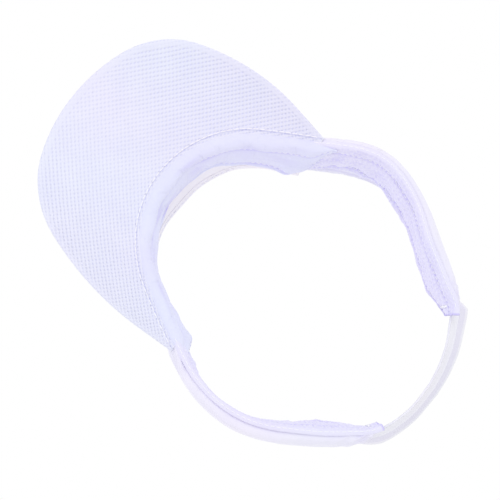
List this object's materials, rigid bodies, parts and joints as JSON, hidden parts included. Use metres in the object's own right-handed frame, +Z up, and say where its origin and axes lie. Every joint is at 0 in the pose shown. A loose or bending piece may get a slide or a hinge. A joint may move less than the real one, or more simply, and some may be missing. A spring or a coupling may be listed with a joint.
{
  "type": "sun visor",
  "caption": "Sports sun visor: curved mesh-lined brim, padded band open at the crown, sweatband and a rear elastic that stretches.",
  "frame": {"origin": "middle of the visor's footprint, at the height of the table it stands on", "axes": "-Y the way the brim points, +X the wearer's left, +Z up through the head opening as it stands on a table"},
  "size_m": [0.169, 0.2668, 0.0701],
  "materials": {
    "thread": "polyester sewing thread, satin",
    "board": "matt, hidden",
    "mesh_knit": "honeycomb knit, soft matt",
    "sweatband_cloth": "fine knit, brushed",
    "terry_cloth": "looped terry knit, soft and matt",
    "foam": "soft open foam, hidden",
    "elastic_knit": "ribbed knitted elastic",
    "lining_cloth": "plain weave, matt",
    "shell_cloth": "smooth warp knit, slight sheen"
  },
  "bodies": {
    "visor": {"brim_board": "board", "brim_edge_stitching": "thread", "brim_seam_stitching": "thread", "brim_top_cover": "shell_cloth", "brim_underside_mesh": "mesh_knit", "front_interlining": "foam", "front_lining": "lining_cloth", "front_panel_shell": "shell_cloth", "front_sweatband": "sweatband_cloth", "front_sweatband_lower_stitching": "thread", "front_sweatband_padding": "foam", "front_sweatband_upper_stitching": "thread", "left_bar_tack": "thread", "left_lining_stitching": "thread", "left_panel_seam": "thread", "left_side_foam": "foam", "left_side_lining": "terry_cloth", "left_side_shell": "shell_cloth", "left_side_stitching": "thread", "right_bar_tack": "thread", "right_lining_stitching": "thread", "right_panel_seam": "thread", "right_side_foam": "foam", "right_side_lining": "terry_cloth", "right_side_shell": "shell_cloth", "right_side_stitching": "thread", "top_edge_binding": "lining_cloth", "top_edge_stitching": "thread"},
    "rear_elastic": {"elastic_strap": "elastic_knit"}
  },
  "joints": [
    {"name": "elastic_stretch", "type": "slide", "parent": "visor", "child": "rear_elastic", "axis": [0, 0.9903, -0.1392], "range_m": [0, 0.018], "stiffness_N_per_m": 250, "deforming": ["elastic_strap"]}
  ]
}
